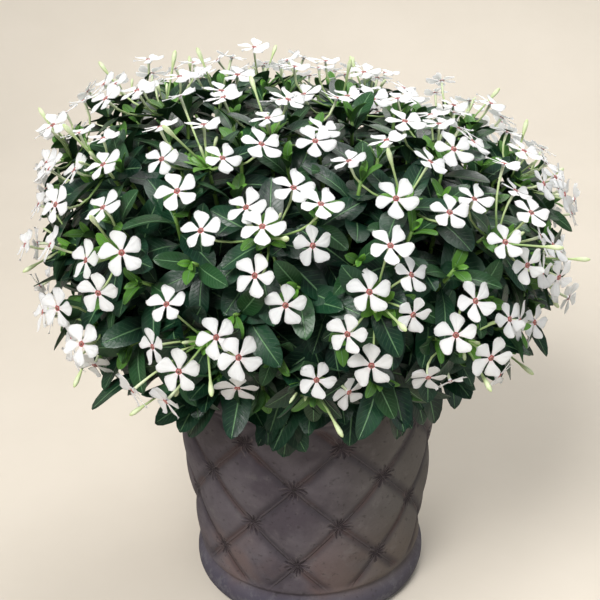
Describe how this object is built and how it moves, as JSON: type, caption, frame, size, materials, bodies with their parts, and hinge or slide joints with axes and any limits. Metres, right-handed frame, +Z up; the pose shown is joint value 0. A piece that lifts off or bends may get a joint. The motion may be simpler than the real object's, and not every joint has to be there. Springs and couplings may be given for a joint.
{
  "type": "potted madagascar periwinkle",
  "caption": "Bushy dome of glossy opposite leaves and small white five-petalled blooms in a tapered, quilted, weathered clay pot",
  "frame": {"origin": "the middle of the pot's flat underside", "axes": "+Z up, -Y towards the pictured front, +X to the right as seen from the front"},
  "size_m": [0.4129, 0.4208, 0.4301],
  "materials": {
    "pot": "matt weathered cast clay, grey-brown with rust in the creases",
    "soil": "matt, damp, crumbly potting soil",
    "leaf": "waxy dark green leaves with paler midribs, on green stems",
    "petal": "soft white petals round a coral eye, on pale green tubes"
  },
  "bodies": {
    "root": {"pot": "pot", "soil": "soil", "leafy_stem_1": "leaf", "leafy_stem_2": "leaf", "leafy_stem_3": "leaf", "leafy_stem_4": "leaf", "leafy_stem_5": "leaf", "bloom_head_01": "petal", "bloom_head_02": "petal", "bloom_head_03": "petal", "bloom_head_04": "petal", "bloom_head_05": "petal", "bloom_head_06": "petal", "bloom_head_07": "petal", "bloom_head_08": "petal", "bloom_head_09": "petal", "bloom_head_10": "petal", "bloom_head_11": "petal", "bloom_head_12": "petal", "bloom_head_13": "petal", "bloom_head_14": "petal", "bloom_head_15": "petal", "bloom_head_16": "petal", "bloom_head_17": "petal", "bloom_head_18": "petal", "bloom_head_19": "petal", "bloom_head_20": "petal", "bloom_head_21": "petal", "bloom_head_22": "petal", "bloom_head_23": "petal", "bloom_head_24": "petal", "bloom_head_25": "petal", "bloom_head_26": "petal", "bloom_head_27": "petal", "bloom_head_28": "petal", "bloom_head_29": "petal", "bloom_head_30": "petal", "bloom_head_31": "petal", "bloom_head_32": "petal", "bloom_head_33": "petal", "bloom_head_34": "petal", "bloom_head_35": "petal", "bloom_head_36": "petal", "bloom_head_37": "petal", "bloom_head_38": "petal", "bloom_head_39": "petal", "bloom_head_40": "petal", "bloom_head_41": "petal", "bloom_head_42": "petal"}
  },
  "joints": []
}
